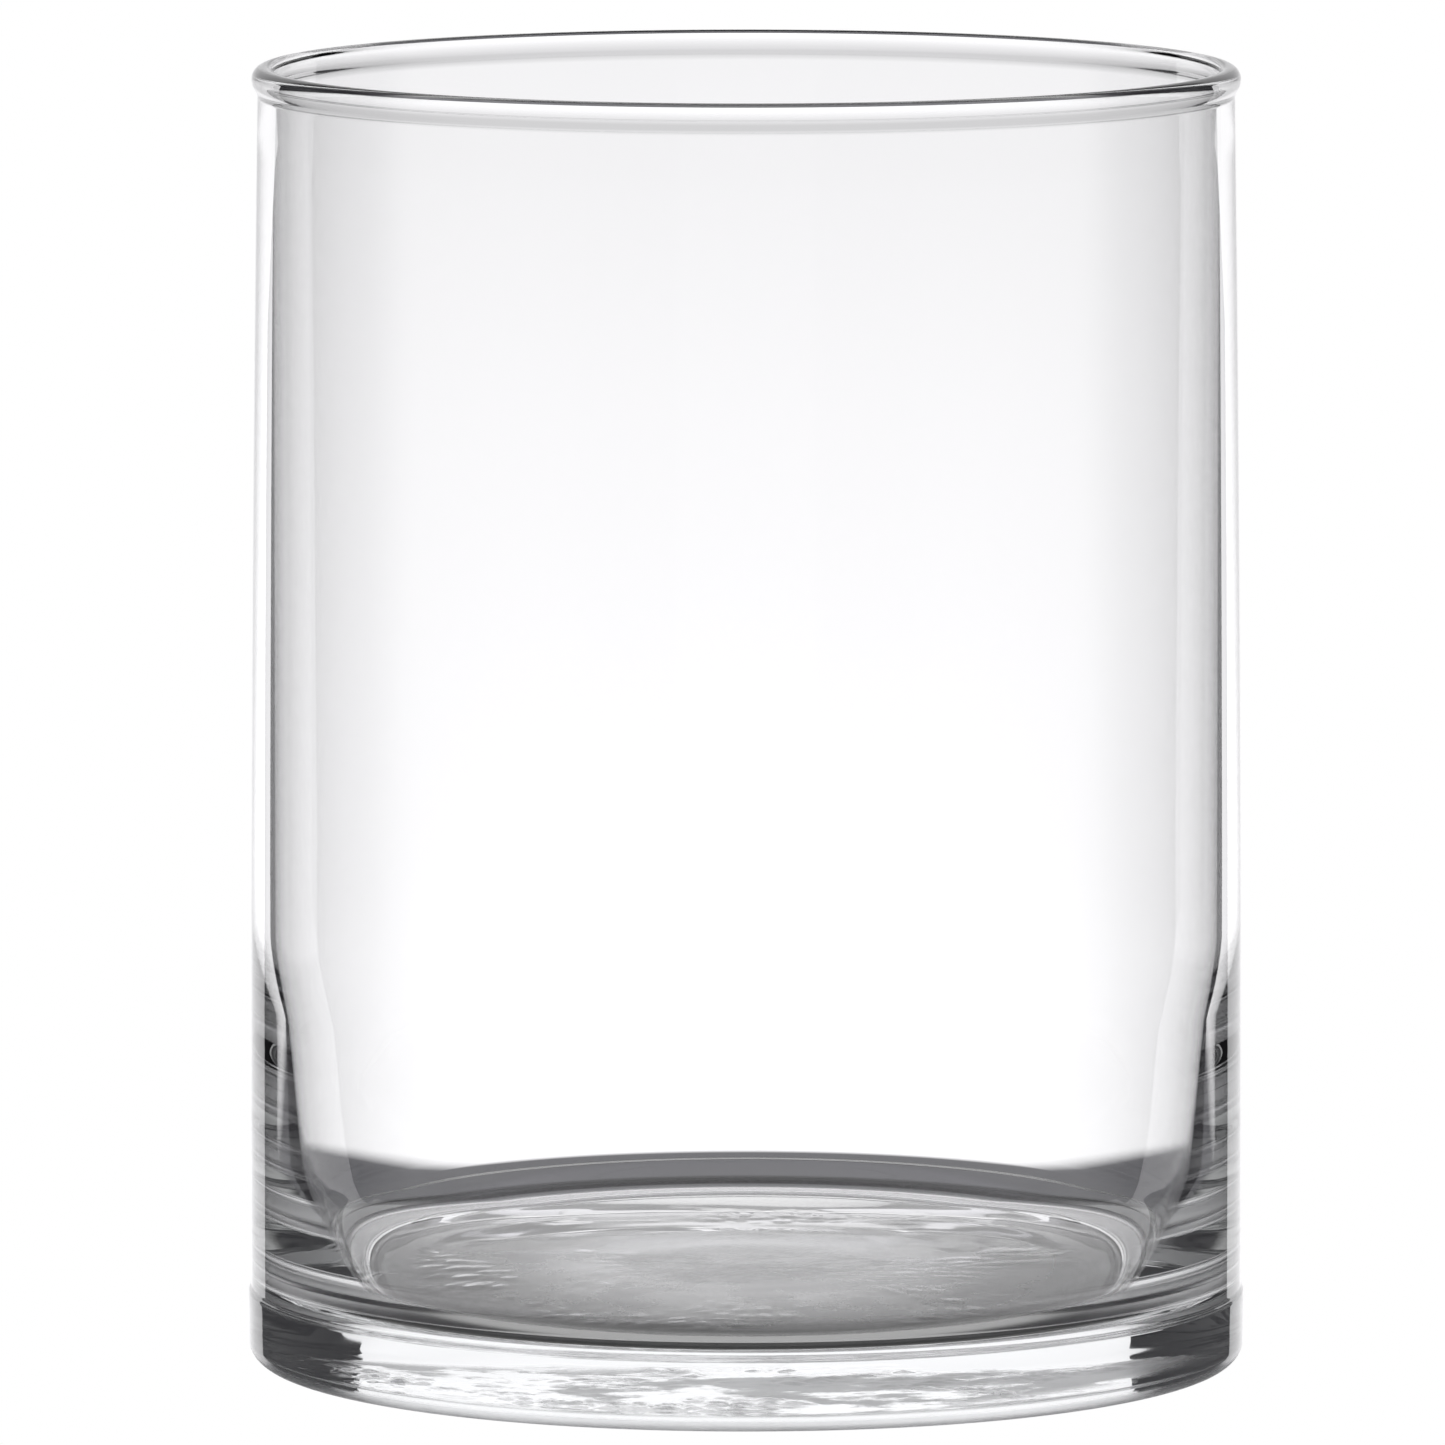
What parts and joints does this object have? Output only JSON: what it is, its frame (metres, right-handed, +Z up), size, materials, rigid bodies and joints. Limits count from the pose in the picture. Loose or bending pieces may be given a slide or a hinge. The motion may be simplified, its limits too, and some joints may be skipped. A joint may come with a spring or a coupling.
{
  "type": "cylinder vase",
  "caption": "Clear glass cylinder vase with a thick base, a slightly stepped foot, a straight well and a fire-polished rim.",
  "frame": {"origin": "middle of the face the vase stands on, on its axis", "axes": "+Z up the vase's axis, out of its mouth; the vase is the same all the way round, so +X and +Y are any two level directions"},
  "size_m": [0.1536, 0.1536, 0.2],
  "materials": {
    "clear_glass": "clear soda-lime glass, fire-polished, with a faint grey-green tint where it is thick"
  },
  "bodies": {
    "root": {"glass_vase": "clear_glass"}
  },
  "joints": []
}
